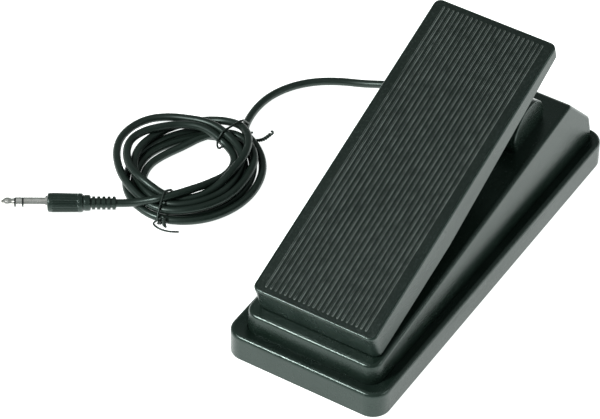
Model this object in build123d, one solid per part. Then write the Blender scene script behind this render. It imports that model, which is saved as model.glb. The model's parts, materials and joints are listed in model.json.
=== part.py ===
from build123d import *
import os
from math import acos, asin, atan, atan2, cos, degrees, hypot, pi, radians, sin, sqrt, tan

os.makedirs("parts", exist_ok=True)

# Rocker pedal with a moulded jack lead.  Millimetres, +Z up, +Y from heel to toe, +X to the right.
# The origin is the middle of the base where the feet touch the floor.

# ---- driving dimensions -------------------------------------------------------------------
BASE_W, BASE_L, BASE_TOP = 105.8, 270.8, 18.1
BASE_CORNER = 11.3
BASE_WALL = 2.8
FOOT_STAND = 0.3                      # height of the tray's underside above the floor
TRAY_FLOOR = FOOT_STAND + 2.4
RIM_W = 2.6                           # rounded rim; from here the ledge falls towards the housing
LEDGE_Z = 16.4                        # height of the ledge where it meets the housing
LEDGE_T = 2.4

HOUSE_W, HOUSE_L = 90.6, 258.6        # footprint of the upper housing at its lower edge
HOUSE_SHIFT = 2.0
HOUSE_BOTTOM = 8.0
HOUSE_CORNER, REAR_CORNER = 9.0, 4.5
HOUSE_DRAFT = 1.9
HOUSE_WALL = 2.6
HOUSE_FRONT_Y, HOUSE_FRONT_Z = -126.0, 30.4
HOUSE_REAR_Y, HOUSE_REAR_Z = 101.4, 62.3
REAR_BEND_Y, REAR_BEND_Z = 127.3, 34.3
REAR_LEAN = 12.5                      # the rear wall leans forward, degrees from upright
ROOF_SLOPE = (HOUSE_REAR_Z - HOUSE_FRONT_Z) / (HOUSE_REAR_Y - HOUSE_FRONT_Y)
ROOF_ANGLE = degrees(atan(ROOF_SLOPE))

TREAD_W, TREAD_L = 81.8, 218.2
TREAD_SHIFT = 1.0                     # the treadle sits a little to the right of the housing's middle
TREAD_TILT = 19.67                    # at rest, heel down
HEEL_Y, HEEL_Z = -125.8, 50.7         # top edge of the heel
HEEL_DEPTH, KINK_S, KINK_DEPTH, TOE_DEPTH = 19.6, 82.0, 21.0, 8.0
TREAD_WALL = 2.6
TREAD_CORNER = 4.5
TREAD_EDGE = 1.3
TRAVEL = 15.0                         # degrees from heel down to toe down

MAT_MARGIN, MAT_CORNER, MAT_T = 1.5, 3.0, 1.0
RIDGES, RIDGE_PITCH, RIDGE_W, RIDGE_H = 22, 3.17, 1.15, 0.7
RIDGE_MARGIN = 4.3                    # from the heel and toe edges to the ridges' ends

PIVOT_S, PIVOT_DEPTH = 82.0, 13.5     # axle, in the treadle's own frame
AXLE_R = 3.0
EAR_IN, EAR_OUT = 24.0, 26.0
LUG_IN, LUG_OUT = 27.5, 33.5
RUNNING = 0.05                        # radial clearance of a running fit

MODULE = 0.8
SECTOR_TEETH, PINION_TEETH = 265, 16
SECTOR_INNER_R = 95.0
SECTOR_T = 3.0
BACKLASH = 0.16
HUMP_R, HUMP_HALF_W = 17.5, 33.0
HUMP_INNER_R = 14.8

LEAD_D = 5.0
GLAND_Y, GLAND_Z = 115.0, 9.5
COIL_X, COIL_Y = -155.5, -16.0
COIL_IN_R, COIL_OUT_R, COIL_LOW, COIL_TOP = 25.5, 49.5, 1.25, 15.0
TIE_R = 0.6
PLUG_AXIS = Vector(-0.85, -0.527, 0).normalized()
PLUG_Z = 5.95
PLUG_R = 3.175

tilt = radians(TREAD_TILT)
PIVOT_Y = HEEL_Y + PIVOT_S * cos(tilt) + PIVOT_DEPTH * sin(tilt)
PIVOT_Z = HEEL_Z + PIVOT_S * sin(tilt) - PIVOT_DEPTH * cos(tilt)
SECTOR_R = MODULE * SECTOR_TEETH / 2
PINION_R = MODULE * PINION_TEETH / 2
PINION_ANGLE = -1.07                  # line of centres, degrees from horizontal
PINION_Y = PIVOT_Y + (SECTOR_R + PINION_R) * cos(radians(PINION_ANGLE))
PINION_Z = PIVOT_Z + (SECTOR_R + PINION_R) * sin(radians(PINION_ANGLE))

SCREW_SPOTS = [(x, y) for x in (-36.0, 36.0) for y in (-100.0, 0.0, 96.0)]
FOOT_SPOTS = [(x, y) for x in (-38.0, 38.0) for y in (-118.0, 118.0)]
BRACKET_SPOTS = [(x, y) for x in (-16.0, 16.0) for y in (-54.0, -34.0)]


def roof_z(y):
    return HOUSE_FRONT_Z + ROOF_SLOPE * (y - HOUSE_FRONT_Y)


def save(name, shape):
    solids = shape.solids()
    export_step(solids[0] if len(solids) == 1 else Compound(children=list(solids)), f"parts/{name}.step")


def cyl(radius, low, high, x=0.0, y=0.0):
    return Pos(x, y, (low + high) / 2) * Cylinder(radius, high - low)


def cyl_x(radius, low, high, y, z):
    return Pos((low + high) / 2, y, z) * Rot(0, 90, 0) * Cylinder(radius, high - low)


def block(x0, x1, y0, y1, z0, z1):
    return Pos((x0 + x1) / 2, (y0 + y1) / 2, (z0 + z1) / 2) * Box(x1 - x0, y1 - y0, z1 - z0)


def side_plate(points, x0, x1):
    """A closed outline in the side view, given as (y, z), made x1 - x0 wide."""
    face = make_face(Polyline(*[(x0, y, z) for y, z in points], close=True))
    return extrude(face, amount=x1 - x0, dir=(1, 0, 0))


def in_treadle(shape):
    """Place a shape drawn with its Y along the treadle's top and its Z up out of it."""
    return Pos(0, HEEL_Y, HEEL_Z) * Rot(TREAD_TILT, 0, 0) * shape


def on_roof(shape, x, y):
    """Place a shape drawn upright at the origin onto the sloping roof of the housing."""
    return Pos(x, y, roof_z(y)) * Rot(ROOF_ANGLE, 0, 0) * shape


# ---- base tray and what is fixed under it -------------------------------------------------
def rounded_box(width, length, corner, low, high):
    return Pos(0, 0, low) * extrude(RectangleRounded(width, length, corner), amount=high - low)


def house_plan(grow):
    """The housing's footprint: wide corners at the front, tight ones at the rear."""
    plan = Rectangle(HOUSE_W + 2 * grow, HOUSE_L + 2 * grow)
    plan = fillet(plan.vertices().group_by(Axis.Y)[0], HOUSE_CORNER + grow)
    return fillet(plan.vertices().group_by(Axis.Y)[-1], REAR_CORNER + grow)


def base_tray():
    tray = rounded_box(BASE_W, BASE_L, BASE_CORNER, FOOT_STAND, BASE_TOP)
    tray = fillet(tray.faces().sort_by(Axis.Z)[-1].edges(), RIM_W)
    tray = fillet(tray.faces().sort_by(Axis.Z)[0].edges(), 0.4)
    inside = 2 * RIM_W - 0.4
    rim_plan = RectangleRounded(BASE_W - inside, BASE_L - inside, BASE_CORNER - inside / 2)
    foot_plan = RectangleRounded(HOUSE_W + 0.4, HOUSE_L + 0.4, HOUSE_CORNER + 0.2)
    tray -= loft([Pos(0, HOUSE_SHIFT, LEDGE_Z) * foot_plan, Pos(0, 0, BASE_TOP + 0.01) * rim_plan])
    tray -= Pos(0, HOUSE_SHIFT, TRAY_FLOOR) * extrude(house_plan(0.1), amount=BASE_TOP - TRAY_FLOOR)
    walls = 2 * BASE_WALL
    tray -= rounded_box(BASE_W - walls, BASE_L - walls, BASE_CORNER - BASE_WALL, TRAY_FLOOR, LEDGE_Z - LEDGE_T)
    for x, y in SCREW_SPOTS:
        tray += cyl(5.0, TRAY_FLOOR - 0.5, 9.0, x, y)
        tray -= cyl(3.6, 0, 5.0, x, y)
        tray -= cyl(1.7, 4, 10, x, y)
    for x, y in FOOT_SPOTS:
        tray -= cyl(8.1, 0, FOOT_STAND + 1.0, x, y)
    for y in (-70.0, 20.0):
        tray += cyl(3.5, TRAY_FLOOR - 0.5, 10.0, 0, y)
        tray -= cyl(1.25, 5.0, 11.0, 0, y)
    tray -= cyl_x(4.3, -BASE_W / 2 - 1, -BASE_W / 2 + 6, GLAND_Y, GLAND_Z)
    for y in (GLAND_Y - 6.5, GLAND_Y + 6.5):
        tray += cyl(2.6, TRAY_FLOOR - 0.5, 7.0, -37.0, y)
        tray -= cyl(1.05, 4.5, 8.0, -37.0, y)
    return tray


def rubber_feet():
    foot = cyl(8.0, 0, FOOT_STAND + 1.0)
    foot = fillet(foot.edges().sort_by(Axis.Z)[0], 0.6)
    return Compound(children=[Pos(x, y, 0) * foot for x, y in FOOT_SPOTS])


def pan_screw(head_r, head_h, shank_r, shank_l, slot_w=0.7):
    """A screw with its head's bearing face at z = 0, head up, shank down."""
    head = cyl(head_r, 0, head_h)
    head = fillet(head.edges().sort_by(Axis.Z)[-1], head_h * 0.45)
    screw = head + cyl(shank_r, -shank_l, 0.01)
    for turn in (0, 90):
        screw -= Rot(0, 0, turn) * block(-head_r * 0.6, head_r * 0.6, -slot_w / 2, slot_w / 2, head_h * 0.45, head_h + 1)
    return screw


def base_screws():
    screw = Rot(180, 0, 0) * pan_screw(3.2, 2.2, 1.5, 15.0)
    return Compound(children=[Pos(x, y, 5.0) * screw for x, y in SCREW_SPOTS])


def ballast_plate():
    plate = rounded_box(58.0, 150.0, 4.0, TRAY_FLOOR, TRAY_FLOOR + 3.5)
    plate = Pos(0, -25, 0) * plate
    for y in (-70.0, 20.0):
        plate -= cyl(3.8, 0, 12, 0, y)
    return plate


def ballast_clips():
    washer = cyl(7.0, 10.0, 11.2) - cyl(1.7, 9, 12)
    lip = cyl(7.0, TRAY_FLOOR + 3.5, 10.0) - cyl(4.6, 5, 11)
    return Compound(children=[Pos(0, y, 0) * (washer + lip) for y in (-70.0, 20.0)])


def ballast_screws():
    return Compound(children=[Pos(0, y, 11.2) * pan_screw(3.0, 2.0, 1.2, 5.5) for y in (-70.0, 20.0)])


# ---- upper housing ------------------------------------------------------------------------
def housing_form(inset, edge):
    """The housing's outside for inset 0, or the same form moved in by the wall for its hollow."""
    drop = inset / cos(radians(ROOF_ANGLE))
    crest_y, bend_y = HOUSE_REAR_Y - 0.4 * inset, REAR_BEND_Y - 0.8 * inset
    outline = [
        (-150, HOUSE_BOTTOM - 5),
        (-150, roof_z(-150) - drop),
        (crest_y, roof_z(crest_y) - drop),
        (bend_y, REAR_BEND_Z - 0.6 * inset),
        (bend_y + 40.0 * tan(radians(REAR_LEAN)), REAR_BEND_Z - 0.6 * inset - 40.0),
    ]
    wedge = side_plate(outline, -60, 60)
    for y, radius in ((crest_y, 5.0), (bend_y, 6.0)):
        bend = [e for e in wedge.edges().filter_by(Axis.X) if abs(e.center().Y - y) < 0.2]
        wedge = fillet(bend, radius)
    column = Pos(0, HOUSE_SHIFT, HOUSE_BOTTOM) * extrude(house_plan(-inset), amount=80, taper=HOUSE_DRAFT)
    form = wedge & column
    if edge:
        roof = [f for f in form.faces() if f.normal_at().Z > 0.2 and f.center().Z > HOUSE_BOTTOM + 2]
        inner = [e for f in roof for e in f.edges()]
        rim = [e for e in inner if sum(e.is_same(other) for other in inner) == 1]
        form = fillet(rim, edge)
    return form


def housing():
    outside = housing_form(0, 2.4)
    hollow = housing_form(HOUSE_WALL, 0)
    shell = outside - hollow - block(-60, 60, -140, 140, 0, HOUSE_BOTTOM)
    hump = cyl_x(HUMP_R, -HUMP_HALF_W, HUMP_HALF_W, PINION_Y, PINION_Z)
    hump = fillet(hump.edges(), 0.8)
    shell += hump - hollow - block(-60, 60, 0, 140, 0, 50)
    posts = Part() + [cyl(4.0, 9.0, 70, x, y) for x, y in SCREW_SPOTS]
    posts += [on_roof(cyl(4.0, -9.0, 0), x, y) for x, y in BRACKET_SPOTS]
    posts += [cyl(3.5, 38.0, 62, 26.0, y) for y in (PINION_Y - 9, PINION_Y + 9)]
    shell += posts & outside
    shell -= cyl_x(HUMP_INNER_R, -HUMP_HALF_W + 2.7, 22.0, PINION_Y, PINION_Z)
    for x, y in SCREW_SPOTS:
        shell -= cyl(1.55, 8, 22, x, y)
    for x, y in BRACKET_SPOTS:
        shell -= on_roof(cyl(1.55, -8.0, 1), x, y)
    for y in (PINION_Y - 9, PINION_Y + 9):
        shell -= cyl(1.3, 37, 47, 26.0, y)
    shell -= block(-50, -40, GLAND_Y - 3.2, GLAND_Y + 3.2, 0, GLAND_Z + 3.2)
    slot = cyl_x(SECTOR_R + 2.3, -3.6, 3.6, PIVOT_Y, PIVOT_Z) - cyl_x(SECTOR_INNER_R - 3, -4, 4, PIVOT_Y, PIVOT_Z)
    shell -= slot & block(-4, 4, 30, 75, 40, 90)
    return shell


# ---- pivot --------------------------------------------------------------------------------
def pivot_bracket():
    y0, y1, plate_t, top_r = -60.0, -28.0, 2.0, 6.5
    base = side_plate([(y0, roof_z(y0)), (y1, roof_z(y1)), (y1, roof_z(y1) + plate_t), (y0, roof_z(y0) + plate_t)],
                      -EAR_OUT, EAR_OUT)
    bracket = base
    for x0 in (-EAR_OUT, EAR_IN):
        x1 = x0 + EAR_OUT - EAR_IN
        ear = side_plate([(-57, roof_z(-57)), (-31, roof_z(-31)), (PIVOT_Y + top_r, PIVOT_Z), (PIVOT_Y - top_r, PIVOT_Z)], x0, x1)
        bracket += ear + cyl_x(top_r, x0, x1, PIVOT_Y, PIVOT_Z)
    bracket -= cyl_x(AXLE_R + RUNNING, -30, 30, PIVOT_Y, PIVOT_Z)
    for x, y in BRACKET_SPOTS:
        bracket -= on_roof(cyl(1.7, -1, 4), x, y)
    return bracket


def pivot_bracket_screws():
    screw = Pos(0, 0, 2.0) * pan_screw(3.0, 2.0, 1.5, 8.5)
    return Compound(children=[on_roof(screw, x, y) for x, y in BRACKET_SPOTS])


def pivot_axle():
    axle = cyl_x(AXLE_R, -36.4, 36.4, PIVOT_Y, PIVOT_Z)
    axle = chamfer(axle.edges(), 0.5)
    for side in (-1, 1):
        low, high = sorted((side * 34.6, side * 35.5))
        axle -= cyl_x(AXLE_R + 1, low, high, PIVOT_Y, PIVOT_Z) - cyl_x(2.5, low, high, PIVOT_Y, PIVOT_Z)
    return axle


def pair_along_axle(outer_r, inner_r, low, high, cut=None):
    """Two matching rings on the axle, one on each side."""
    rings = []
    for side in (-1, 1):
        x0, x1 = sorted((side * low, side * high))
        ring = cyl_x(outer_r, x0, x1, PIVOT_Y, PIVOT_Z) - cyl_x(inner_r, x0 - 1, x1 + 1, PIVOT_Y, PIVOT_Z)
        if cut:
            ring -= block(x0 - 1, x1 + 1, PIVOT_Y - cut, PIVOT_Y + cut, PIVOT_Z - outer_r - 1, PIVOT_Z)
        rings.append(ring)
    return Compound(children=rings)


def pivot_bushes():
    bushes = []
    for side in (-1, 1):
        f0, f1 = sorted((side * (LUG_IN - 0.9), side * LUG_IN))
        s0, s1 = sorted((side * LUG_IN, side * LUG_OUT))
        bush = cyl_x(6.0, f0, f1, PIVOT_Y, PIVOT_Z) + cyl_x(4.5, s0, s1, PIVOT_Y, PIVOT_Z)
        bushes.append(bush - cyl_x(AXLE_R + RUNNING, -40, 40, PIVOT_Y, PIVOT_Z))
    return Compound(children=bushes)


# ---- treadle ------------------------------------------------------------------------------
def treadle_form(inset):
    """The treadle's outside in its own frame, or its hollow for a wall of the given inset."""
    cap = inset
    outline = [
        (inset, -cap),
        (TREAD_L - inset, -cap),
        (TREAD_L - inset, -TOE_DEPTH - 0.01 * inset),
        (KINK_S, -KINK_DEPTH),
        (inset, -HEEL_DEPTH),
    ]
    if inset:
        outline[2:] = [(TREAD_L - inset, -KINK_DEPTH - 4), (inset, -KINK_DEPTH - 4)]
    wedge = side_plate(outline, -60, 60)
    plan = RectangleRounded(TREAD_W - 2 * inset, TREAD_L - 2 * inset, TREAD_CORNER - inset)
    column = Pos(TREAD_SHIFT, TREAD_L / 2, -40) * extrude(plan, amount=60)
    return wedge & column


def treadle_shell():
    solid = treadle_form(0)
    solid = fillet(solid.faces().sort_by(Axis.Z)[-1].edges(), TREAD_EDGE)
    hollow = treadle_form(TREAD_WALL)
    shell = solid - hollow
    left = TREAD_SHIFT - TREAD_W / 2 + TREAD_WALL - 0.5
    right = TREAD_SHIFT + TREAD_W / 2 - TREAD_WALL + 0.5
    ribs = Part() + block(left, right, 12.0, 14.0, -16.5, -2)
    for s in (40.0, 120.0, 150.0):
        ribs += block(left, right, s - 0.8, s + 0.8, -8.5, -2)
    for x0 in (-LUG_OUT, LUG_IN):
        x1 = x0 + LUG_OUT - LUG_IN
        ribs += block(x0, x1, PIVOT_S - 7.5, PIVOT_S + 7.5, -PIVOT_DEPTH, -2)
        ribs += Pos(0, PIVOT_S, -PIVOT_DEPTH) * cyl_x(7.5, x0, x1, 0, 0)
    for x in (-7.0, 7.0):
        ribs += Pos(x, 172.5, 0) * cyl(4.0, -6.6, -2)
    shell += ribs
    shell -= Pos(0, PIVOT_S, -PIVOT_DEPTH) * cyl_x(4.55, -36, 36, 0, 0)
    for x in (-7.0, 7.0):
        shell -= Pos(x, 172.5, 0) * cyl(1.3, -7, -2.9)
    shell -= mat_sheet(0.15, MAT_T)
    return in_treadle(shell)


def mat_sheet(gap, depth):
    inset = 2 * (MAT_MARGIN - gap)
    sheet = extrude(RectangleRounded(TREAD_W - inset, TREAD_L - inset, MAT_CORNER + gap), amount=depth + 0.001)
    return Pos(TREAD_SHIFT, TREAD_L / 2, -depth) * sheet


def tread_mat():
    mat = mat_sheet(0, MAT_T)
    ridge_l = TREAD_L - 2 * RIDGE_MARGIN
    ridge = extrude(SlotOverall(ridge_l, RIDGE_W, rotation=90), amount=RIDGE_H + 0.3)
    ridge = fillet(ridge.faces().sort_by(Axis.Z)[-1].edges(), 0.45)
    for k in range(RIDGES):
        x = TREAD_SHIFT + (k - (RIDGES - 1) / 2) * RIDGE_PITCH
        mat += Pos(x, TREAD_L / 2, -0.3) * ridge
    return in_treadle(mat)


def stop_pads():
    """Rubber buttons under the toe that meet the hump at the end of the travel."""
    pad = cyl(5.0, -TREAD_WALL - 4.0, -TREAD_WALL)
    pad = fillet(pad.edges().sort_by(Axis.Z)[0], 1.0)
    return Compound(children=[in_treadle(Pos(x, 194.0, 0) * pad) for x in (-20.0, 20.0)])


def heel_bumpers():
    """Rubber buttons on the housing that carry the treadle's front rib at rest."""
    outside = housing_form(0, 0)
    pads = []
    for x in (-20.0, 20.0):
        button = cyl(5.5, 30.0, 38.35, x, -107.6)
        button = fillet(button.edges().sort_by(Axis.Z)[-1], 1.0)
        pads.append(button - outside)
    return Compound(children=pads)


# ---- gear drive ---------------------------------------------------------------------------
def involute(base_r, radius):
    """Polar angle of an involute of the base circle at a radius, from its own start."""
    if radius <= base_r:
        return 0.0
    pressure = acos(base_r / radius)
    return tan(pressure) - pressure


def tooth_flanks(teeth, steps=5):
    """(radius, half angle) pairs from root to tip of one tooth, thinned for backlash."""
    pitch_r = MODULE * teeth / 2
    base_r = pitch_r * cos(radians(20))
    tip, root = pitch_r + MODULE * 0.98, pitch_r - 1.25 * MODULE
    half = pi / (2 * teeth) - BACKLASH / 2 / pitch_r / 2
    start = max(base_r, root)
    flank = []
    if root < base_r:
        flank.append((root, half + involute(base_r, pitch_r)))
    for i in range(steps):
        r = start + (tip - start) * i / (steps - 1)
        flank.append((r, half + involute(base_r, pitch_r) - involute(base_r, r)))
    return flank


def toothed_points(teeth, first, count, phase):
    """Outline points of a run of teeth, in the plane of rotation, by increasing angle."""
    flank = tooth_flanks(teeth)
    points = []
    for k in range(first, first + count):
        centre = phase + 2 * pi * k / teeth
        points += [(r * cos(centre - a), r * sin(centre - a)) for r, a in flank]
        points += [(r * cos(centre + a), r * sin(centre + a)) for r, a in reversed(flank)]
    return points


def drive_sector():
    """Toothed arc hanging from the treadle, with a screwed foot."""
    mesh = radians(PINION_ANGLE)
    pitch = 2 * pi / SECTOR_TEETH
    teeth = toothed_points(SECTOR_TEETH, -2, 16, mesh + pitch / 2)
    root = SECTOR_R - 1.25 * MODULE
    low, high = mesh - 2.6 * pitch, radians(22.5)
    arc_out = [(root * cos(low), root * sin(low))] + teeth
    last = atan2(teeth[-1][1], teeth[-1][0])
    steps = 4
    for i in range(1, steps + 1):
        a = last + (high - last) * i / steps
        arc_out.append((root * cos(a), root * sin(a)))
    inner = [(SECTOR_INNER_R * cos(a), SECTOR_INNER_R * sin(a))
             for a in [high + (low - high) * i / 12 for i in range(13)]]
    blade = side_plate([(PIVOT_Y + y, PIVOT_Z + z) for y, z in arc_out + inner], -SECTOR_T / 2, SECTOR_T / 2)
    web = block(-SECTOR_T / 2, SECTOR_T / 2, 167.0, 186.5, -15.0, -6.6)
    foot = block(-11.5, 11.5, 167.0, 178.0, -8.6, -6.6)
    fixed = in_treadle(web + foot)
    trim = in_treadle(block(-30, 30, 150, 220, -6.6, 10))
    sector = (blade + fixed) - trim
    for x in (-7.0, 7.0):
        sector -= in_treadle(Pos(x, 172.5, 0) * cyl(1.7, -9, -6))
    return sector


def sector_screws():
    screw = Rot(180, 0, 0) * pan_screw(2.8, 1.8, 1.25, 5.0)
    return Compound(children=[in_treadle(Pos(x, 172.5, -8.6) * screw) for x in (-7.0, 7.0)])


def pinion_gear():
    points = toothed_points(PINION_TEETH, 0, PINION_TEETH, radians(PINION_ANGLE + 180))
    gear = side_plate([(PINION_Y + y, PINION_Z + z) for y, z in points], -3.0, 3.0)
    gear += cyl_x(4.6, -7.0, -3.0, PINION_Y, PINION_Z)
    gear -= cyl_x(AXLE_R + 0.01, -8, 8, PINION_Y, PINION_Z)
    gear -= Pos(-5.0, PINION_Y, PINION_Z) * cyl(0.85, 0, 6)
    return gear


def pinion_set_screw():
    return Pos(-5.0, PINION_Y, PINION_Z) * cyl(0.8, 3.02, 4.6)


def pot_shaft():
    shaft = cyl_x(AXLE_R, -7.5, 12.0, PINION_Y, PINION_Z)
    return chamfer(shaft.edges().sort_by(Axis.X)[0], 0.5)


def pot_wiper():
    wiper = cyl_x(5.6, 10.4, 11.4, PINION_Y, PINION_Z) - cyl_x(AXLE_R + 0.01, 9, 13, PINION_Y, PINION_Z)
    return wiper - block(9, 13, PINION_Y + 1, PINION_Y + 7, PINION_Z - 7, PINION_Z + 7)


# ---- sensor: potentiometer, its bracket and wiring ------------------------------------------
def pot_bracket():
    plate = block(5.4, 6.9, PINION_Y - 9, PINION_Y + 9, 38.0, PINION_Z)
    plate += cyl_x(9.0, 5.4, 6.9, PINION_Y, PINION_Z)
    foot = block(5.4, 31.0, PINION_Y - 13, PINION_Y + 13, 36.5, 38.0)
    bracket = plate + foot
    bracket -= cyl_x(3.6, 4, 9, PINION_Y, PINION_Z)
    bracket -= block(9.0, 15.0, PINION_Y - 7, PINION_Y + 7, 35, 40)
    for y in (PINION_Y - 9, PINION_Y + 9):
        bracket -= cyl(1.7, 35, 40, 26.0, y)
    return bracket


def pot_bracket_screws():
    screw = Rot(180, 0, 0) * pan_screw(2.8, 1.8, 1.25, 8.0)
    return Compound(children=[Pos(26.0, y, 36.5) * screw for y in (PINION_Y - 9, PINION_Y + 9)])


def pot_body():
    can = cyl_x(8.0, 7.0, 17.0, PINION_Y, PINION_Z)
    can = fillet(can.edges().sort_by(Axis.X)[-1], 1.0)
    can += block(9.0, 10.6, PINION_Y - 5, PINION_Y + 5, PINION_Z - 13, PINION_Z - 5)
    can -= cyl_x(6.8, 9.0, 15.8, PINION_Y, PINION_Z)
    can += cyl_x(3.5, 3.4, 8.0, PINION_Y, PINION_Z)
    return can - cyl_x(AXLE_R + RUNNING, 3, 9.5, PINION_Y, PINION_Z)


def pot_track():
    return cyl_x(6.6, 14.6, 15.75, PINION_Y, PINION_Z) - cyl_x(2.0, 14, 17, PINION_Y, PINION_Z)


def pot_nut():
    across_flats = 10.0
    hexagon = RegularPolygon(across_flats / 2 / cos(pi / 6), 6)
    nut = Pos(3.5, PINION_Y, PINION_Z) * Rot(0, 90, 0) * extrude(hexagon, amount=1.5)
    return nut - cyl_x(3.55, 3, 6, PINION_Y, PINION_Z)


def pot_washer():
    return cyl_x(5.6, 5.02, 5.38, PINION_Y, PINION_Z) - cyl_x(3.6, 4, 6, PINION_Y, PINION_Z)


def pot_terminals():
    tags = []
    for dy in (-3.5, 0.0, 3.5):
        tag = block(10.62, 11.1, PINION_Y + dy - 0.8, PINION_Y + dy + 0.8, PINION_Z - 16.5, PINION_Z - 8.4)
        tags.append(tag)
    return Compound(children=tags)


def tube_along(points, diameter, name="", floor=None):
    """A round tube on straight runs joined by tangent arcs, each as large as its runs allow."""
    vectors = [Vector(*p) for p in points]
    radii = []
    for a, b, c in zip(vectors, vectors[1:], vectors[2:]):
        turn = radians((b - a).get_angle(c - b))
        radii.append(0.45 * min((b - a).length, (c - b).length) / tan(turn / 2))
    path = FilletPolyline(*points, radius=radii)
    start = Plane(origin=path @ 0, z_dir=path % 0)
    tube = sweep(start * Circle(diameter / 2), path=path)
    if name:
        exact = pi * diameter ** 2 / 4 * path.length
        print(f"{name}: length {path.length:.1f}, radii {[round(r) for r in radii]}, volume {tube.volume:.1f} of {exact:.1f}")
        print(f"{name}: lowest point {tube.bounding_box().min.Z:.2f}")
    return tube


def lead_wires():
    wires = []
    for k, dy in enumerate((-3.5, 0.0, 3.5)):
        tag_y, tag_z = PINION_Y + dy, PINION_Z - 16.0
        route = [
            (11.75, tag_y, tag_z + 1.0),
            (12.0, tag_y, tag_z - 9.0),
            (11.0 - 2 * k, tag_y + 3.0, 24.0 - 1.5 * k),
            (3.0, 84.0 + 2.0 * k, 12.0 + k),
            (-12.0, 104.0 + 2.0 * k, 9.3 + 0.3 * k),
            (-26.5, GLAND_Y - 1.4 + 1.4 * k, GLAND_Z),
        ]
        wires.append(tube_along(route, 1.1))
    return Compound(children=wires)


# ---- lead -----------------------------------------------------------------------------------
def lead_gland():
    """Moulded strain relief: a collar each side of the tray wall and a tapered, ringed tail."""
    wall_out, wall_in = -BASE_W / 2, -BASE_W / 2 + BASE_WALL
    gland = cyl_x(4.25, wall_out, wall_in, GLAND_Y, GLAND_Z)
    inner = cyl_x(5.4, wall_in, wall_in + 2.2, GLAND_Y, GLAND_Z)
    gland += inner & block(-60, -40, 0, 140, TRAY_FLOOR + 0.2, LEDGE_Z - LEDGE_T - 0.2)
    gland += cyl_x(5.6, wall_out - 2.4, wall_out, GLAND_Y, GLAND_Z)
    tail = Pos(wall_out - 13.0, GLAND_Y, GLAND_Z) * Rot(0, -90, 0) * Cone(4.6, 3.3, 22.0)
    gland += tail
    for k in range(5):
        x = wall_out - 6.0 - 3.4 * k
        gland -= cyl_x(6.0, x, x + 1.2, GLAND_Y, GLAND_Z) - cyl_x(3.1, x, x + 1.2, GLAND_Y, GLAND_Z)
    return gland - cyl_x(LEAD_D / 2 + RUNNING, -90, -30, GLAND_Y, GLAND_Z)


def lead_inner():
    return cyl_x(LEAD_D / 2, LEAD_ROUTE[0][0], -27.0, GLAND_Y, GLAND_Z)


def cable_clamp():
    y, low, half = GLAND_Y, 7.0, 8.9
    strap = block(-39.5, -34.5, y - half, y + half, low, low + 1.4)
    strap += cyl_x(LEAD_D / 2 + 1.5, -39.5, -34.5, y, GLAND_Z)
    strap -= cyl_x(LEAD_D / 2 + 0.02, -42, -32, y, GLAND_Z)
    strap -= block(-42, -32, y - LEAD_D / 2 - 0.02, y + LEAD_D / 2 + 0.02, 2, GLAND_Z)
    strap -= block(-42, -32, y - 20, y + 20, 2, low)
    for dy in (-6.5, 6.5):
        strap -= cyl(1.3, 6, 10, -37.0, y + dy)
    return strap


def cable_clamp_screws():
    screw = pan_screw(2.1, 1.4, 1.0, 2.4, 0.5)
    return Compound(children=[Pos(-37.0, GLAND_Y + dy, 8.4) * screw for dy in (-6.5, 6.5)])


# The lead leaves the gland, falls to the floor and curls round the left of the pedal to the coil.
LEAD_ROUTE = [
    (-66.0, GLAND_Y, GLAND_Z),
    (-83.5, GLAND_Y, GLAND_Z),
    (-95.0, 113.8, 5.8),
    (-107.0, 110.6, 3.1),
    (-120.5, 105.4, 2.7),
    (-133.5, 97.0, 2.6),
    (-143.5, 85.5, 2.6),
    (-149.8, 71.5, 2.6),
    (-151.4, 57.5, 2.6),
    (-149.5, 43.0, 3.0),
    (-144.5, 30.0, 4.6),
]

RELIEF_L, TAPER_L, HANDLE_L, SHAFT_L = 15.5, 4.0, 22.0, 28.3
PLUG_START = Vector(-173.4, -67.6, PLUG_Z)      # where the cord enters the plug's relief

TAIL_ROUTE = [
    (-148.4, -53.2, 11.4),
    (-157.0, -57.6, 8.2),
    (PLUG_START.X - 9 * PLUG_AXIS.X, PLUG_START.Y - 9 * PLUG_AXIS.Y, PLUG_START.Z),
    (PLUG_START.X, PLUG_START.Y, PLUG_START.Z),
]


def lead_coil():
    """The coiled length of the lead, as the closed outer shape of its turns."""
    section = Pos((COIL_IN_R + COIL_OUT_R) / 2, (COIL_LOW + COIL_TOP) / 2) * RectangleRounded(
        COIL_OUT_R - COIL_IN_R, COIL_TOP - COIL_LOW, 6.0)
    return Pos(COIL_X, COIL_Y, 0) * revolve(Plane.XZ * section, Axis.Z)


def cable_tie(angle, tail_out):
    """A twist tie round the coil's section at the given angle, with its twisted ends."""
    gap = 0.02
    low, high = TIE_R + gap, COIL_TOP + TIE_R + gap
    inner, outer = COIL_IN_R - TIE_R - gap, COIL_OUT_R + TIE_R + gap
    loop = Pos((inner + outer) / 2, (low + high) / 2) * RectangleRounded(outer - inner, high - low, 6.0)
    path = (Plane.XZ * loop).face().outer_wire()
    start = Plane(origin=path @ 0, z_dir=path % 0)
    ring = sweep(start * Circle(TIE_R), path=path)
    tail = cyl_x(1.0, outer - 0.3, outer + tail_out, 0, (low + high) / 2)
    return Pos(COIL_X, COIL_Y, 0) * Rot(0, 0, angle) * (ring + tail)


# ---- jack plug --------------------------------------------------------------------------------
def plug_piece(shape):
    """Place a shape drawn along +Z from the cord's end of the plug onto the plug's line."""
    return Plane(origin=PLUG_START, z_dir=PLUG_AXIS) * shape


def rod(r, low, high):
    return cyl(r, low, high)


def plug_relief():
    relief = rod(3.0, 0, RELIEF_L)
    rings = 5
    step = RELIEF_L / rings
    for k in range(rings):
        relief += rod(4.1, k * step + 0.4, k * step + 2.2)
    return plug_piece(relief)


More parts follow.
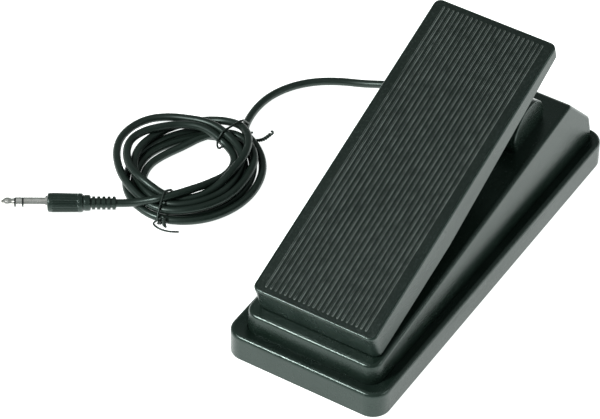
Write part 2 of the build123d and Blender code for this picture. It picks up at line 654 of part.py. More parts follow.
def plug_handle():
    taper = Pos(0, 0, RELIEF_L + TAPER_L / 2) * Cone(4.2, 5.9, TAPER_L)
    grip = rod(5.9, RELIEF_L + TAPER_L, RELIEF_L + TAPER_L + HANDLE_L)
    grip = fillet(grip.edges().sort_by(Axis.Z)[-1], 0.7)
    return plug_piece(taper + grip)


def plug_shaft_rings():
    """Sleeve, ring, tip and the two insulators, in order from the handle."""
    start = RELIEF_L + TAPER_L + HANDLE_L
    collar = rod(4.3, start, start + 1.3)
    sleeve = collar + rod(PLUG_R, start + 1.2, start + 14.3)
    band_a = rod(2.95, start + 14.3, start + 15.4)
    ring = rod(PLUG_R, start + 15.4, start + 19.0)
    band_b = rod(2.95, start + 19.0, start + 20.1)
    tip_start, tip_end = start + 20.1, start + SHAFT_L
    outline = [(0, tip_start), (2.6, tip_start), (2.35, tip_start + 1.6), (3.1, tip_start + 3.6),
               (2.9, tip_end - 2.6), (1.3, tip_end - 0.3), (0.9, tip_end), (0, tip_end)]
    tip = revolve(Plane.XZ * make_face(Polyline(*outline, close=True)), Axis.Z)
    return {"plug_sleeve": sleeve, "plug_insulator_inner": band_a, "plug_ring": ring,
            "plug_insulator_outer": band_b, "plug_tip": tip}


# ---- write every piece ------------------------------------------------------------------------
save("base_tray", base_tray())
save("rubber_feet", rubber_feet())
save("base_screws", base_screws())
save("ballast_plate", ballast_plate())
save("ballast_clips", ballast_clips())
save("ballast_screws", ballast_screws())
save("upper_housing", housing())
save("pivot_bracket", pivot_bracket())
save("pivot_bracket_screws", pivot_bracket_screws())
save("pivot_axle", pivot_axle())
save("thrust_washers", pair_along_axle(5.5, AXLE_R + RUNNING, EAR_OUT + 0.05, EAR_OUT + 0.55))
save("spring_washers", pair_along_axle(5.2, AXLE_R + RUNNING, LUG_OUT + 0.1, LUG_OUT + 1.0))
save("axle_clips", pair_along_axle(5.0, 2.55, 34.65, 35.45, 1.9))
save("pivot_bushes", pivot_bushes())
save("treadle_shell", treadle_shell())
save("tread_mat", tread_mat())
save("toe_stop_pads", stop_pads())
save("heel_bumpers", heel_bumpers())
save("drive_sector", drive_sector())
save("sector_screws", sector_screws())
save("pinion_gear", pinion_gear())
save("pinion_set_screw", pinion_set_screw())
save("pot_shaft", pot_shaft())
save("pot_wiper", pot_wiper())
save("pot_bracket", pot_bracket())
save("pot_bracket_screws", pot_bracket_screws())
save("pot_body", pot_body())
save("pot_track", pot_track())
save("pot_nut", pot_nut())
save("pot_washer", pot_washer())
save("pot_terminals", pot_terminals())
save("lead_wires", lead_wires())
save("lead_gland", lead_gland())
save("lead_inner", lead_inner())
save("cable_clamp", cable_clamp())
save("cable_clamp_screws", cable_clamp_screws())
save("lead_run", tube_along(LEAD_ROUTE, LEAD_D, "lead_run"))
save("lead_coil", lead_coil())
save("lead_tail", tube_along(TAIL_ROUTE, LEAD_D, "lead_tail"))
save("cable_tie_upper", cable_tie(74.0, 7.0))
save("cable_tie_lower", cable_tie(-77.0, 6.0))
save("plug_relief", plug_relief())
save("plug_handle", plug_handle())
for piece_name, piece in plug_shaft_rings().items():
    save(piece_name, plug_piece(piece))
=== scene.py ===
import json
from math import cos, pi, radians, sin

import bmesh
import bpy
import numpy as np
from mathutils import Matrix, Vector


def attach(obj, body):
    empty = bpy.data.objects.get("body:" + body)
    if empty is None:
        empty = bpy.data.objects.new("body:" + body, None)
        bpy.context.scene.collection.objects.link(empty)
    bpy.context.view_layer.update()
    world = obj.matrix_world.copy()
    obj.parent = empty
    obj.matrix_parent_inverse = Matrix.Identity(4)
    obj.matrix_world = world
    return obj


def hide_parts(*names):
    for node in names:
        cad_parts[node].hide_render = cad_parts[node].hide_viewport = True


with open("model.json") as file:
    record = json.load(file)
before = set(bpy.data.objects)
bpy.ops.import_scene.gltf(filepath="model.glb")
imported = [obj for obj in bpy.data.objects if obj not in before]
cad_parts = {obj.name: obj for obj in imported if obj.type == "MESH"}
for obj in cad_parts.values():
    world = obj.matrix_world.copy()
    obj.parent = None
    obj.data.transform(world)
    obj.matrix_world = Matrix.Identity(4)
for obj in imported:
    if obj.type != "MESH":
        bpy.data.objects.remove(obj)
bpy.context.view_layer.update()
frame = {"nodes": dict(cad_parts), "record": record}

MM = 0.001
scene = bpy.context.scene


# ---- camera ---------------------------------------------------------------------------------
# The photograph's view, solved from the pedal's straight edges.
VIEW_AZIMUTH, VIEW_ELEVATION, VIEW_ROLL = radians(31.354), radians(42.594), radians(0.841)
VIEW_TARGET = Vector((-0.08012, -0.00712, 0.0))
VIEW_DISTANCE = 2.13203
VIEW_LENS, SENSOR_WIDTH = 210.909, 36.0   # millimetres
FAR_CLIP = 20.0


def make_camera():
    """The scene's camera, aimed at VIEW_TARGET with a slight roll."""
    a, e, r = VIEW_AZIMUTH, VIEW_ELEVATION, VIEW_ROLL
    back = Vector((sin(a) * cos(e), -cos(a) * cos(e), sin(e)))
    level_right = Vector((cos(a), sin(a), 0.0))
    level_up = back.cross(level_right)
    right = cos(r) * level_right + sin(r) * level_up
    up = cos(r) * level_up - sin(r) * level_right
    data = bpy.data.cameras.new("view")
    data.sensor_fit = "HORIZONTAL"
    data.sensor_width = SENSOR_WIDTH
    data.lens = VIEW_LENS
    data.clip_end = FAR_CLIP
    camera = bpy.data.objects.new("view", data)
    scene.collection.objects.link(camera)
    turn = Matrix((right, up, back)).transposed().to_4x4()
    camera.matrix_world = Matrix.Translation(VIEW_TARGET + VIEW_DISTANCE * back) @ turn
    scene.camera = camera


make_camera()


# ---- material building blocks ---------------------------------------------------------------
MIX_FACTOR, MIX_FIRST, MIX_SECOND, MIX_RESULT = 0, 6, 7, 2    # a colour Mix node's sockets


class Graph:
    """A short way to write a material's nodes."""

    def __init__(self, name):
        self.material = bpy.data.materials.new(name)
        self.material.use_nodes = True
        self.tree = self.material.node_tree
        self.shader = self.tree.nodes["Principled BSDF"]
        self.where = self.add("ShaderNodeTexCoord").outputs["Object"]

    def add(self, kind, **settings):
        node = self.tree.nodes.new(kind)
        for key, value in settings.items():
            setattr(node, key, value)
        return node

    def link(self, source, target):
        self.tree.links.new(source, target)

    def noise(self, scale, detail, roughness, stretch=None):
        """Noise over the object, stretched along its axes if asked."""
        node = self.add("ShaderNodeTexNoise")
        node.inputs["Scale"].default_value = scale
        node.inputs["Detail"].default_value = detail
        node.inputs["Roughness"].default_value = roughness
        where = self.where
        if stretch:
            mapping = self.add("ShaderNodeMapping")
            mapping.inputs["Scale"].default_value = stretch
            self.link(where, mapping.inputs["Vector"])
            where = mapping.outputs["Vector"]
        self.link(where, node.inputs["Vector"])
        return node.outputs["Fac"]

    def remap(self, source, low, high, to_low, to_high):
        """Map low..high to to_low..to_high, and hold the ends."""
        node = self.add("ShaderNodeMapRange")
        node.inputs["From Min"].default_value = low
        node.inputs["From Max"].default_value = high
        node.inputs["To Min"].default_value = to_low
        node.inputs["To Max"].default_value = to_high
        self.link(source, node.inputs["Value"])
        return node.outputs["Result"]

    def blend_colours(self, factor, first, second):
        node = self.add("ShaderNodeMix", data_type="RGBA")
        for socket, value in ((node.inputs[MIX_FIRST], first), (node.inputs[MIX_SECOND], second)):
            if hasattr(value, "is_linked"):
                self.link(value, socket)
            else:
                socket.default_value = (*value, 1.0)
        self.link(factor, node.inputs[MIX_FACTOR])
        return node.outputs[MIX_RESULT]

    def math(self, operation, first, second):
        node = self.add("ShaderNodeMath", operation=operation)
        for socket, value in zip(node.inputs, (first, second)):
            if hasattr(value, "is_linked"):
                self.link(value, socket)
            else:
                socket.default_value = value
        return node.outputs["Value"]

    def bump(self, height, distance):
        node = self.add("ShaderNodeBump")
        node.inputs["Strength"].default_value = 1.0
        node.inputs["Distance"].default_value = distance
        self.link(height, node.inputs["Height"])
        self.link(node.outputs["Normal"], self.shader.inputs["Normal"])

    def set(self, socket, value):
        self.shader.inputs[socket].default_value = value


TINT = (0.80, 1.0, 0.93, 1.0)            # the photograph's green cast in every dark highlight


def moulded_plastic(name, colour, light, roughness, pebble, scuffs=0.5):
    """Injection-moulded plastic: pebbled grain, faint flow mottling, lint specks and rubbed patches."""
    g = Graph(name)
    mottle = g.noise(38.0, 4.0, 0.6)
    base = g.blend_colours(g.remap(mottle, 0.35, 0.68, 0.0, 1.0), colour, light)
    specks = g.remap(g.noise(850.0, 2.0, 0.6), 0.64, 0.76, 0.0, 0.6)
    lint = tuple(0.5 * c + 0.04 for c in light)
    g.link(g.blend_colours(specks, base, lint), g.shader.inputs["Base Color"])
    rubbing = g.noise(16.0, 5.0, 0.65, (1.0, 0.35, 1.0))
    rubbed = g.remap(rubbing, 0.35, 0.7, roughness - 0.05, roughness + 0.07)
    scratch = g.remap(g.noise(260.0, 3.0, 0.7, (1.0, 0.06, 1.0)), 0.60, 0.72, 0.0, 0.12 * scuffs)
    g.link(g.math("ADD", rubbed, scratch), g.shader.inputs["Roughness"])
    fine = g.noise(2400.0, 2.0, 0.5)
    broad = g.noise(820.0, 3.0, 0.6)
    g.bump(g.math("ADD", broad, g.math("MULTIPLY", fine, 0.4)), pebble)
    g.set("Specular Tint", TINT)
    return g.material


def soft_rubber(name, colour, light, roughness):
    """Matte rubber or soft PVC with a bloom in patches and a fine skin."""
    g = Graph(name)
    bloom = g.noise(70.0, 4.0, 0.6)
    base = g.blend_colours(g.remap(bloom, 0.4, 0.7, 0.0, 1.0), colour, light)
    specks = g.remap(g.noise(1300.0, 2.0, 0.5), 0.66, 0.8, 0.0, 0.5)
    lint = tuple(0.6 * c + 0.05 for c in light)
    g.link(g.blend_colours(specks, base, lint), g.shader.inputs["Base Color"])
    rubbed = g.remap(g.noise(45.0, 4.0, 0.6), 0.35, 0.7, roughness - 0.06, roughness + 0.08)
    g.link(rubbed, g.shader.inputs["Roughness"])
    g.bump(g.noise(1400.0, 3.0, 0.6), 0.00002)
    g.set("Specular Tint", TINT)
    return g.material


def ribbed_tread(name, field, haze, ridge_highlight, tilt):
    """The ribbed top: a dark grained field with dusty patches, and ridges whose tilted sides are painted
    paler as a highlight, patchy like wear, and made smoother.
    """
    g = Graph(name)
    facing = g.add("ShaderNodeVectorMath", operation="DOT_PRODUCT")
    g.link(g.add("ShaderNodeTexCoord").outputs["Normal"], facing.inputs[0])
    facing.inputs[1].default_value = (0.0, -sin(tilt), cos(tilt))
    # painted highlight: faces tilted off the treadle's top (the ridges' sides) get the paler highlight
    # colour and less roughness
    ridge = g.remap(facing.outputs["Value"], 0.96, 0.80, 0.0, 1.0)
    patches = g.remap(g.noise(17.0, 5.0, 0.68), 0.42, 0.66, 0.0, 1.0)
    dust = g.remap(g.noise(760.0, 3.0, 0.65), 0.50, 0.72, 0.0, 0.8)
    base = g.blend_colours(g.math("MULTIPLY", g.math("ADD", patches, 0.35), dust), field, haze)
    # the painted ridge highlight, broken up by noise like uneven wear
    highlight_and_wear = g.math("MULTIPLY", ridge, g.remap(g.noise(330.0, 3.0, 0.6, (1.0, 0.4, 1.0)), 0.3, 0.6, 0.25, 1.0))
    g.link(g.blend_colours(highlight_and_wear, base, ridge_highlight), g.shader.inputs["Base Color"])
    rough = g.remap(g.noise(40.0, 4.0, 0.6), 0.35, 0.7, 0.42, 0.52)
    g.link(g.math("SUBTRACT", rough, g.math("MULTIPLY", ridge, 0.14)), g.shader.inputs["Roughness"])
    g.bump(g.noise(900.0, 3.0, 0.6), 0.00040)
    g.set("Specular IOR Level", 0.36)
    g.set("Specular Tint", TINT)
    return g.material


def plated_metal(name, colour, dull, roughness):
    """Plated or bare metal with a fine grain and faint tarnish."""
    g = Graph(name)
    tarnish = g.remap(g.noise(160.0, 4.0, 0.6), 0.45, 0.75, 0.0, 1.0)
    g.link(g.blend_colours(tarnish, colour, dull), g.shader.inputs["Base Color"])
    g.set("Metallic", 1.0)
    grain = g.noise(1500.0, 3.0, 0.6)
    g.link(g.remap(grain, 0.3, 0.7, roughness - 0.06, roughness + 0.1), g.shader.inputs["Roughness"])
    g.bump(grain, 0.000004)
    return g.material


TREAD_TILT = radians(19.67)              # the treadle's slope at rest

# darker colour, lighter colour, roughness, height of the grain and, if not the usual, the scuffs
PLASTICS = {
    "treadle_plastic": ((0.0060, 0.0125, 0.0095), (0.0105, 0.0185, 0.0150), 0.27, 0.00010),
    "housing_plastic": ((0.0055, 0.0120, 0.0085), (0.0100, 0.0175, 0.0140), 0.24, 0.00008),
    "base_plastic": ((0.0050, 0.0110, 0.0080), (0.0095, 0.0170, 0.0135), 0.25, 0.00010, 1.0),
    "plug_plastic": ((0.006, 0.012, 0.009), (0.010, 0.017, 0.014), 0.30, 0.00012),
    "tie_plastic": ((0.005, 0.008, 0.006), (0.009, 0.013, 0.011), 0.36, 0.00002),
    "insulator_plastic": ((0.006, 0.006, 0.006), (0.012, 0.012, 0.012), 0.3, 0.00001),
    "bush_nylon": ((0.56, 0.53, 0.45), (0.64, 0.61, 0.53), 0.42, 0.00002),
    "gear_acetal": ((0.66, 0.64, 0.58), (0.72, 0.70, 0.65), 0.36, 0.00002),
    "sector_acetal": ((0.018, 0.021, 0.020), (0.028, 0.031, 0.030), 0.40, 0.00002),
    "pot_phenolic": ((0.16, 0.075, 0.03), (0.24, 0.12, 0.05), 0.5, 0.00002),
    "wire_insulation": ((0.45, 0.03, 0.02), (0.52, 0.05, 0.03), 0.3, 0.00001),
}
# field, haze on the field, painted highlight on a ridge's rounded sides (made patchy like wear)
TREAD_COLOURS = (0.0015, 0.0042, 0.0028), (0.030, 0.039, 0.035), (0.26, 0.30, 0.28)
# darker colour, lighter colour, roughness
RUBBERS = {
    "foot_rubber": ((0.016, 0.016, 0.016), (0.026, 0.026, 0.026), 0.72),
    "stop_rubber": ((0.012, 0.012, 0.012), (0.02, 0.02, 0.02), 0.66),
    "lead_jacket": ((0.0040, 0.0090, 0.0062), (0.0085, 0.0145, 0.0115), 0.38),
    "relief_rubber": ((0.0040, 0.0090, 0.0062), (0.0085, 0.0145, 0.0115), 0.40),
}
# clean colour, tarnished colour, roughness
METALS = {
    "plug_nickel": ((0.86, 0.85, 0.83), (0.62, 0.60, 0.56), 0.20),
    "zinc_steel": ((0.62, 0.63, 0.62), (0.42, 0.41, 0.38), 0.32),
    "black_steel": ((0.05, 0.05, 0.052), (0.09, 0.085, 0.08), 0.40),
    "ballast_steel": ((0.36, 0.36, 0.37), (0.22, 0.19, 0.16), 0.45),
    "pot_case": ((0.60, 0.60, 0.60), (0.45, 0.44, 0.42), 0.30),
    "tin": ((0.68, 0.68, 0.66), (0.50, 0.49, 0.46), 0.28),
}

MATERIALS = {name: moulded_plastic(name, *look) for name, look in PLASTICS.items()}
MATERIALS["tread_rubber"] = ribbed_tread("tread_rubber", *TREAD_COLOURS, TREAD_TILT)
MATERIALS.update({name: soft_rubber(name, *look) for name, look in RUBBERS.items()})
MATERIALS.update({name: plated_metal(name, *look) for name, look in METALS.items()})


def dress_cad_nodes():
    """Give every CAD node the material that its record names."""
    for part in frame["record"]["subparts"]:
        piece = frame["nodes"][part["node"]]
        piece.data.materials.clear()
        piece.data.materials.append(MATERIALS[part["material_slot"]])


dress_cad_nodes()


# ---- lead -----------------------------------------------------------------------------------
# One cord: out of the gland, round the left of the pedal, through a loose hand-wound coil held by
# two twist ties, and into the plug.  The free stretches repeat the model's route.
LEAD_D = 0.005
LEAD_ROUTE = [
    (-0.0660, 0.1150, 0.0095),
    (-0.0835, 0.1150, 0.0095),
    (-0.0950, 0.1138, 0.0058),
    (-0.1070, 0.1106, 0.0031),
    (-0.1205, 0.1054, 0.0027),
    (-0.1335, 0.0970, 0.0026),
    (-0.1435, 0.0855, 0.0026),
    (-0.1498, 0.0715, 0.0026),
    (-0.1514, 0.0575, 0.0026),
    (-0.1495, 0.0430, 0.0030),
    (-0.1445, 0.0300, 0.0046),
]
TAIL_ROUTE = [
    (-0.14840, -0.05320, 0.01140),
    (-0.15700, -0.05760, 0.00820),
    (-0.16575, -0.06286, 0.00595),
    (-0.17340, -0.06760, 0.00595),
]
COIL_CENTRE = (-0.1555, -0.016)
COIL_REACH = 0.056                       # no strand of the coil runs further out than this
UPPER_TIE, LOWER_TIE = 78, -77           # bearings of the ties round the coil, in degrees

# Each turn runs clockwise.  At every bearing it has a radius and a height, in millimetres: close
# together at the ties, fanned out on the far side, with one strand thrown across the others.
# The values began as readings of the photograph's strands, then were rounded and changed.
BEARINGS = (78, 45, 15, -20, -50, -77, -110, -150, -180, -207, -235, -258)
TURNS = [
    [(47.3, 4.6), (46.8, 2.6), (45.0, 2.6), (44.8, 2.6), (46.0, 2.6), (46.6, 2.6),
     (43.0, 2.6), (36.0, 2.6), (33.0, 2.6), (32.5, 2.6), (35.0, 2.6), (39.5, 2.6)],
    [(41.8, 2.6), (40.6, 2.6), (39.5, 2.6), (39.6, 2.6), (40.6, 2.6), (41.3, 2.6),
     (38.0, 2.6), (31.0, 2.6), (28.0, 2.6), (26.4, 2.6), (28.0, 2.6), (33.0, 2.6)],
    [(36.6, 2.6), (35.3, 2.6), (34.2, 2.6), (34.4, 2.6), (35.3, 2.6), (36.0, 2.6),
     (33.0, 2.6), (25.5, 2.6), (20.8, 2.6), (19.4, 3.0), (22.0, 4.0), (30.0, 6.0)],
    [(39.8, 7.5), (41.8, 7.2), (38.0, 7.2), (38.6, 7.2), (40.6, 7.2), (43.0, 7.2),
     (41.0, 7.8), (43.5, 8.0), (48.6, 7.5), (48.2, 7.5), (40.0, 8.5), (37.0, 8.8)],
    [(34.6, 7.8), (34.5, 7.2), (31.5, 6.6), (33.5, 7.0), (35.5, 7.0), (38.0, 7.2),
     (34.0, 6.5), (33.5, 7.0), (33.6, 7.4), (35.0, 6.5), (41.5, 4.5), (45.6, 5.4)],
    [(46.0, 9.4), (37.5, 12.0), (29.8, 10.8), (28.8, 8.8), (31.0, 7.0), (33.0, 6.6),
     (34.0, 10.5), (37.0, 9.5), (40.0, 8.8), (34.2, 9.3), (32.8, 9.0), (31.8, 8.0)],
    [(31.0, 4.4), (29.6, 5.0), (25.8, 6.0), (24.6, 9.0), (28.0, 11.8)],
]
TURN_STEP = 15                           # degrees between the coil's control points


def smooth_between(x, knots, values):
    """Cubic interpolation with the slopes of the neighbouring knots."""
    slopes = np.gradient(values, knots)
    k = np.clip(np.searchsorted(knots, x) - 1, 0, len(knots) - 2)
    width = knots[k + 1] - knots[k]
    t = (x - knots[k]) / width
    rise = (values[k + 1] - values[k]) * (3 * t ** 2 - 2 * t ** 3)
    lean = width * (slopes[k] * (t ** 3 - 2 * t ** 2 + t) + slopes[k + 1] * (t ** 3 - t ** 2))
    return values[k] + rise + lean


def coil_points():
    """Control points of the coil's turns, one every TURN_STEP degrees."""
    travelled, radii, heights = [], [], []
    for turn, row in enumerate(TURNS):
        for bearing, (radius, height) in zip(BEARINGS, row):
            travelled.append(360.0 * turn - bearing)
            radii.append(radius * MM)
            heights.append(height * MM)
    travelled, radii, heights = np.array(travelled), np.array(radii), np.array(heights)
    steps = np.arange(travelled[0] + TURN_STEP, travelled[-1], TURN_STEP)
    points = []
    for angle in steps:
        radius = smooth_between(angle, travelled, radii)
        height = max(smooth_between(angle, travelled, heights), LEAD_D / 2)
        turn = radians(-angle)
        points.append((COIL_CENTRE[0] + radius * cos(turn), COIL_CENTRE[1] + radius * sin(turn), height))
    return points


# How push_apart moves the strands: share of each overlap cleared in a round, pull back to the first
# curvature and to the first place, and the run of neighbouring points that may lie close together.
CLEARED, STRAIGHTENED, RETURNED, NEIGHBOURS, ROUNDS = 0.7, 0.1, 0.01, 5, 400


def push_apart(points, first, last, spacing):
    """Move the coil's own points, in up to ROUNDS rounds, so that strands keep the spacing."""
    start = np.array(points)
    now = start.copy()
    count = len(now)
    run = np.tile(np.arange(count - 1), 3)
    share = np.repeat((0.0, 1 / 3, 2 / 3), count - 1)
    bend = (start[:-2] + start[2:]) / 2 - start[1:-1]
    for _ in range(ROUNDS):
        spots = now[run] * (1 - share)[:, None] + now[run + 1] * share[:, None]
        gaps = spots[:, None] - spots[None]
        distance = np.linalg.norm(gaps, axis=2)
        apart = np.abs(run[:, None] - run[None]) > NEIGHBOURS
        one, other = np.nonzero((distance < spacing) & apart)
        if len(one) == 0:
            break
        near = np.maximum(distance[one, other], 1e-6)
        push = ((spacing - near) / near / 2)[:, None] * gaps[one, other]
        move, weight = np.zeros_like(now), np.zeros(count)
        for end, part in ((run[one], 1 - share[one]), (run[one] + 1, share[one])):
            np.add.at(move, end, push * part[:, None])
            np.add.at(weight, end, part)
        now += CLEARED * move / np.maximum(weight, 1.0)[:, None]
        now[1:-1] += STRAIGHTENED * ((now[:-2] + now[2:]) / 2 - now[1:-1] - bend)
        now += RETURNED * (start - now)
        now[:, 2] = np.maximum(now[:, 2], LEAD_D / 2)
        now[:first], now[last:] = start[:first], start[last:]
    return [tuple(point) for point in now]


def nurbs_piece(name, points, radius, smoothness=6):
    """A round rod on one open NURBS spline with the given control points."""
    curve = bpy.data.curves.new(name, "CURVE")
    curve.dimensions = "3D"
    curve.bevel_depth = 1.0
    curve.bevel_resolution = smoothness
    curve.resolution_u = 6
    curve.use_fill_caps = True
    spline = curve.splines.new("NURBS")
    spline.points.add(len(points) - 1)
    for control, place in zip(spline.points, points):
        control.co = (*place, 1.0)
        control.radius = radius
    spline.order_u = 3
    spline.use_endpoint_u = True
    piece = bpy.data.objects.new(name, curve)
    scene.collection.objects.link(piece)
    return piece


def centreline(piece):
    """Points on a NURBS piece's own line."""
    piece.data.bevel_depth = 0.0
    bpy.context.view_layer.update()
    line = bpy.data.meshes.new_from_object(piece)
    piece.data.bevel_depth = 1.0
    return np.array([tuple(v.co) for v in line.vertices])


def finish_piece(piece, slot_name):
    """Give a piece its material and slot, and let it ride on the base."""
    piece.data.materials.append(MATERIALS[slot_name])
    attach(piece, "base")
    return piece


def make_lead():
    """The whole lead, from inside the gland to the plug, on one spline."""
    wound = LEAD_ROUTE + coil_points() + TAIL_ROUTE
    points = push_apart(wound, len(LEAD_ROUTE), len(wound) - len(TAIL_ROUTE), 1.02 * LEAD_D)
    return finish_piece(nurbs_piece("lead", points, LEAD_D / 2), "lead_jacket")


TIE_R = 0.0007
TIE_SMOOTHNESS = 3
TIE_STEPS = 30                           # control points round a tie


def strands_at(line, bearing):
    """(radius, height) of every strand of the coil where it passes a bearing."""
    offset = line[:, :2] - np.array(COIL_CENTRE)
    radius = np.hypot(offset[:, 0], offset[:, 1])
    turned = np.arctan2(offset[:, 1], offset[:, 0]) - radians(bearing)
    turned = (turned + pi) % (2 * pi) - pi
    crossing = (turned[:-1] > 0) & (turned[1:] <= 0) & (np.abs(turned[:-1]) < 0.5)
    crossing &= radius[:-1] < COIL_REACH
    return [(radius[i], line[i, 2]) for i in np.nonzero(crossing)[0]]


def on_bearing(bearing, radius, height, aside=0.0):
    """The place of a wire at a bearing, radius and height of the coil, kept off the floor."""
    turn = radians(bearing)
    x = COIL_CENTRE[0] + radius * cos(turn) - aside * sin(turn)
    y = COIL_CENTRE[1] + radius * sin(turn) + aside * cos(turn)
    return x, y, max(height, TIE_R)


def make_tie(name, line, bearing, slack_in, slack_out, skew):
    """A wire tie drawn round the strands, loose at its bends."""
    strands = strands_at(line, bearing)
    grip = LEAD_D / 2 + 1.5 * TIE_R
    loop = []
    for k in range(TIE_STEPS + 1):
        way = -2 * pi * k / TIE_STEPS - 0.6
        facing = (cos(way), sin(way))
        radius, height = max(strands, key=lambda s: s[0] * facing[0] + s[1] * facing[1])
        slack = slack_in * max(0.0, -facing[0]) ** 6 + slack_out * max(0.0, facing[0]) ** 6
        reach = grip + slack
        aside = skew * (k / TIE_STEPS - 0.5) + 0.0012 * sin(2.7 * way)
        loop.append(on_bearing(bearing, radius + reach * facing[0], height + reach * facing[1], aside))
    return finish_piece(nurbs_piece(name, loop, TIE_R, TIE_SMOOTHNESS), "tie_plastic")


def twist_ends(name, path, pitch=0.0032):
    """Two wires wound round each other along a short path of bearings, radii and heights."""
    guide = centreline(nurbs_piece(name + "_guide", [on_bearing(*spot) for spot in path], TIE_R))
    bpy.data.objects.remove(bpy.data.objects[name + "_guide"])
    travelled = np.concatenate(([0.0], np.cumsum(np.linalg.norm(np.diff(guide, axis=0), axis=1))))
    along = np.gradient(guide, axis=0)
    along /= np.linalg.norm(along, axis=1)[:, None]
    side = np.cross(along, (0.0, 0.0, 1.0))
    side /= np.linalg.norm(side, axis=1)[:, None]
    other = np.cross(side, along)
    wires = []
    for k in range(2):
        turn = 2 * pi * travelled / pitch + pi * k
        wire = guide + 0.9 * TIE_R * (np.cos(turn)[:, None] * side + np.sin(turn)[:, None] * other)
        wire[:, 2] = np.maximum(wire[:, 2], TIE_R)
        if k:
            wire = wire[:int(0.8 * len(wire))]
        points = [tuple(point) for point in wire]
        piece = nurbs_piece(f"{name}_{k + 1}", points, TIE_R, TIE_SMOOTHNESS)
        wires.append(finish_piece(piece, "tie_plastic"))
    return wires


PLUG_WAY = np.array((-0.85, -0.527, 0.0))
GRIP_AROUND, GRIP_RIBS, GROOVE_DEPTH = 192, 24, 0.00042
# Along the grip: share of its length, share of its radius, share of the grooves' depth there.
GRIP_PROFILE = [
    (0.0, 0.72, 0.0), (0.012, 0.79, 0.0), (0.035, 0.83, 0.0), (0.12, 0.84, 0.0), (0.14, 0.80, 0.0),
    (0.165, 0.80, 0.0), (0.19, 0.96, 0.0), (0.235, 1.0, 0.0), (0.27, 1.0, 0.0), (0.285, 0.97, 0.5),
    (0.31, 0.97, 1.0), (0.86, 1.0, 1.0), (0.885, 1.0, 0.5), (0.90, 1.0, 0.0), (0.955, 1.0, 0.0),
    (0.985, 0.97, 0.0), (1.0, 0.88, 0.0),
]


def grip_ring(mesh, centre, side, radius, depth):
    """One ring of vertices round the grip, with its grooves sunk to a depth."""
    ring = []
    for k in range(GRIP_AROUND):
        turn = 2 * pi * k / GRIP_AROUND
        r = radius - depth * min(1.0, max(0.0, 0.5 - 1.6 * cos(GRIP_RIBS * turn)))
        place = centre + r * cos(turn) * side
        place[2] += r * sin(turn)
        ring.append(mesh.verts.new(place))
    return ring


def join_rings(mesh, rings):
    """Faces between neighbouring rings, and one over each end."""
    for one, other in zip(rings, rings[1:]):
        for k in range(GRIP_AROUND):
            after = (k + 1) % GRIP_AROUND
            mesh.faces.new((one[k], one[after], other[after], other[k]))
    mesh.faces.new(rings[0])
    mesh.faces.new(rings[-1])
    bmesh.ops.recalc_face_normals(mesh, faces=mesh.faces)


def make_plug_handle():
    """The plug's moulded grip, in the CAD handle's place: lengthwise ribs between two collars."""
    solid = frame["nodes"]["plug_handle"]
    spots = np.array([tuple(solid.matrix_world @ v.co) for v in solid.data.vertices])
    axis = PLUG_WAY / np.linalg.norm(PLUG_WAY)
    side = np.array((-axis[1], axis[0], 0.0))
    along, across = spots @ axis, spots @ side
    middle = (across.max() + across.min()) / 2 * side
    middle[2] = (spots[:, 2].max() + spots[:, 2].min()) / 2
    radius = np.ptp(spots[:, 2]) / 2
    mesh = bmesh.new()
    rings = []
    for share, size, depth in GRIP_PROFILE:
        centre = axis * (along.min() + share * np.ptp(along)) + middle
        rings.append(grip_ring(mesh, centre, side, radius * size, GROOVE_DEPTH * depth))
    join_rings(mesh, rings)
    data = bpy.data.meshes.new("plug_grip")
    mesh.to_mesh(data)
    mesh.free()
    grip = bpy.data.objects.new("plug_grip", data)
    scene.collection.objects.link(grip)
    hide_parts("plug_handle")
    return finish_piece(grip, "plug_plastic")


lead = make_lead()
lead_line = centreline(lead)
tie_upper = make_tie("tie_upper", lead_line, UPPER_TIE, 0.0022, 0.0012, 0.004)
tie_lower = make_tie("tie_lower", lead_line, LOWER_TIE, 0.0012, 0.0006, -0.003)
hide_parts("lead_run", "lead_coil", "lead_tail")
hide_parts("cable_tie_upper")
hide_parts("cable_tie_lower")
# The upper tie's ends are twisted and stick out past the coil.  The lower tie has a knot and a
# loose end.
upper_ends = twist_ends("tie_upper_ends", [
    (69.0, 0.0490, 0.0012), (64.0, 0.0505, 0.0030), (60.5, 0.0530, 0.0056), (60.0, 0.0560, 0.0078),
    (59.8, 0.0584, 0.0092), (61.6, 0.0594, 0.0086),
])
lower_knot = twist_ends("tie_lower_knot", [
    (-74.0, 0.0492, 0.0070), (-73.4, 0.0508, 0.0048), (-72.8, 0.0514, 0.0026), (-72.2, 0.0520, 0.0010),
], 0.0026)
lower_end = finish_piece(nurbs_piece("tie_lower_end", [on_bearing(*spot) for spot in (
    (-76.5, 0.0488, 0.0052), (-79.5, 0.0502, 0.0026), (-81.5, 0.0508, 0.0010), (-78.5, 0.0528, 0.0008),
    (-73.5, 0.0544, 0.0008), (-67.5, 0.0548, 0.0008), (-62.5, 0.0545, 0.0012),
)], TIE_R * 0.9, TIE_SMOOTHNESS), "tie_plastic")
PLUG_NODES = ("plug_relief", "plug_sleeve", "plug_insulator_inner", "plug_ring",
              "plug_insulator_outer", "plug_tip")
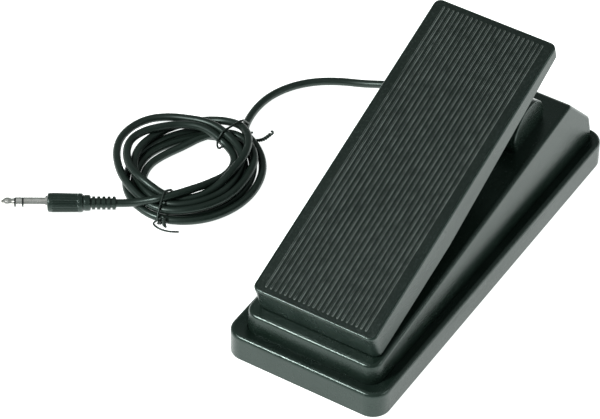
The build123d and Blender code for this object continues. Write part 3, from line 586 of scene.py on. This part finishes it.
plug_pieces = [frame["nodes"][node] for node in PLUG_NODES] + [make_plug_handle()]


# ---- floor and light ------------------------------------------------------------------------
def area_light(name, place, aim, size, power):
    """A white square light of a size in metres and a power in watts."""
    data = bpy.data.lights.new(name, "AREA")
    data.shape = "RECTANGLE"
    data.size = data.size_y = size
    data.energy = power
    lamp = bpy.data.objects.new(name, data)
    scene.collection.objects.link(lamp)
    lamp.location = place
    lamp.rotation_euler = (Vector(aim) - Vector(place)).to_track_quat("-Z", "Y").to_euler()


def make_floor():
    """A pale sheet that glows, so that it stays white behind the dark pedal."""
    mesh = bpy.data.meshes.new("floor")
    half = 6.0
    corners = [(-half, -half, 0), (half, -half, 0), (half, half, 0), (-half, half, 0)]
    mesh.from_pydata(corners, [], [(0, 1, 2, 3)])
    floor = bpy.data.objects.new("floor", mesh)
    scene.collection.objects.link(floor)
    material = bpy.data.materials.new("floor_paper")
    material.use_nodes = True
    shader = material.node_tree.nodes["Principled BSDF"]
    shader.inputs["Base Color"].default_value = (0.88, 0.90, 0.89, 1.0)
    shader.inputs["Roughness"].default_value = 0.9
    shader.inputs["Specular IOR Level"].default_value = 0.1
    shader.inputs["Emission Color"].default_value = (0.97, 1.0, 0.985, 1.0)
    shader.inputs["Emission Strength"].default_value = 1.0
    mesh.materials.append(material)


def make_lights():
    """A dim surround, two soft lights and a small key from the front left for crisp edge lines."""
    world = bpy.data.worlds.new("studio")
    scene.world = world
    world.use_nodes = True
    background = world.node_tree.nodes["Background"]
    background.inputs["Color"].default_value = (0.90, 1.0, 0.965, 1.0)
    background.inputs["Strength"].default_value = 0.26
    area_light("top_soft", (-0.3, 0.1, 1.9), (0, 0, 0), 1.6, 1.5)
    area_light("right_soft", (1.75, 0.42, 1.0), (0, 0, 0.05), 0.8, 8.0)
    key_way = Vector((-0.38, -0.66, 0.62)).normalized()
    area_light("key", 2.0 * key_way, (0, 0, 0.03), 0.24, 38.0)
    scene.view_settings.view_transform = "Standard"


make_floor()
make_lights()
